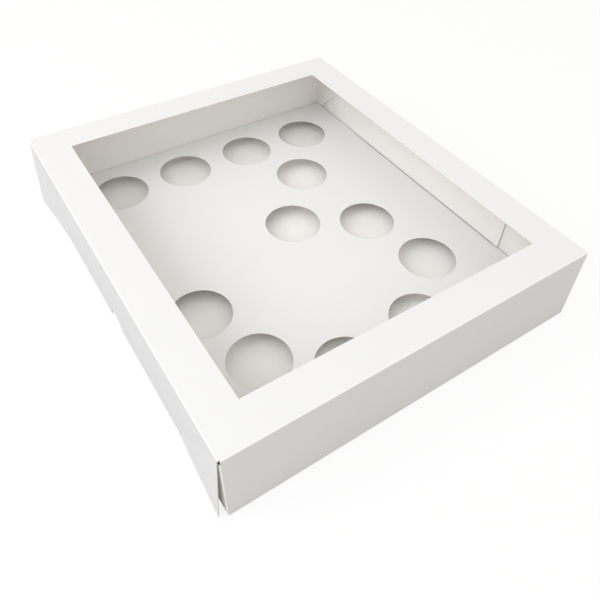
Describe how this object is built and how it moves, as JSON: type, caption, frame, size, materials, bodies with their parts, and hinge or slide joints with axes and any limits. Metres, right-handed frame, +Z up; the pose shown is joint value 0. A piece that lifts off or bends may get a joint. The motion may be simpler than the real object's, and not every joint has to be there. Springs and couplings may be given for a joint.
{
  "type": "cupcake box",
  "caption": "Shallow white card box with a hinged window lid and a raised insert with round holes that hold cupcakes.",
  "frame": {"origin": "centre of the underside of the tray's base", "axes": "+Z up, -X the side that opens, +X the hinge side, -Y the side from which the insert's hole pattern reads upright"},
  "size_m": [0.3615, 0.4124, 0.0762],
  "materials": {
    "tray_card": "uncoated white paperboard",
    "insert_card": "uncoated white paperboard",
    "lid_card": "smooth white paperboard",
    "clear_film": "clear gloss film"
  },
  "bodies": {
    "tray_body": {"tray": "tray_card", "cupcake_insert": "insert_card", "hinge_flap": "tray_card"},
    "lid_body": {"lid": "lid_card", "window_film": "clear_film"}
  },
  "joints": [
    {"name": "lid_hinge", "type": "hinge", "parent": "tray_body", "child": "lid_body", "pos_m": [0.1778, 0, 0.0756], "axis": [0, 1, 0], "range_deg": [0, 180]}
  ]
}
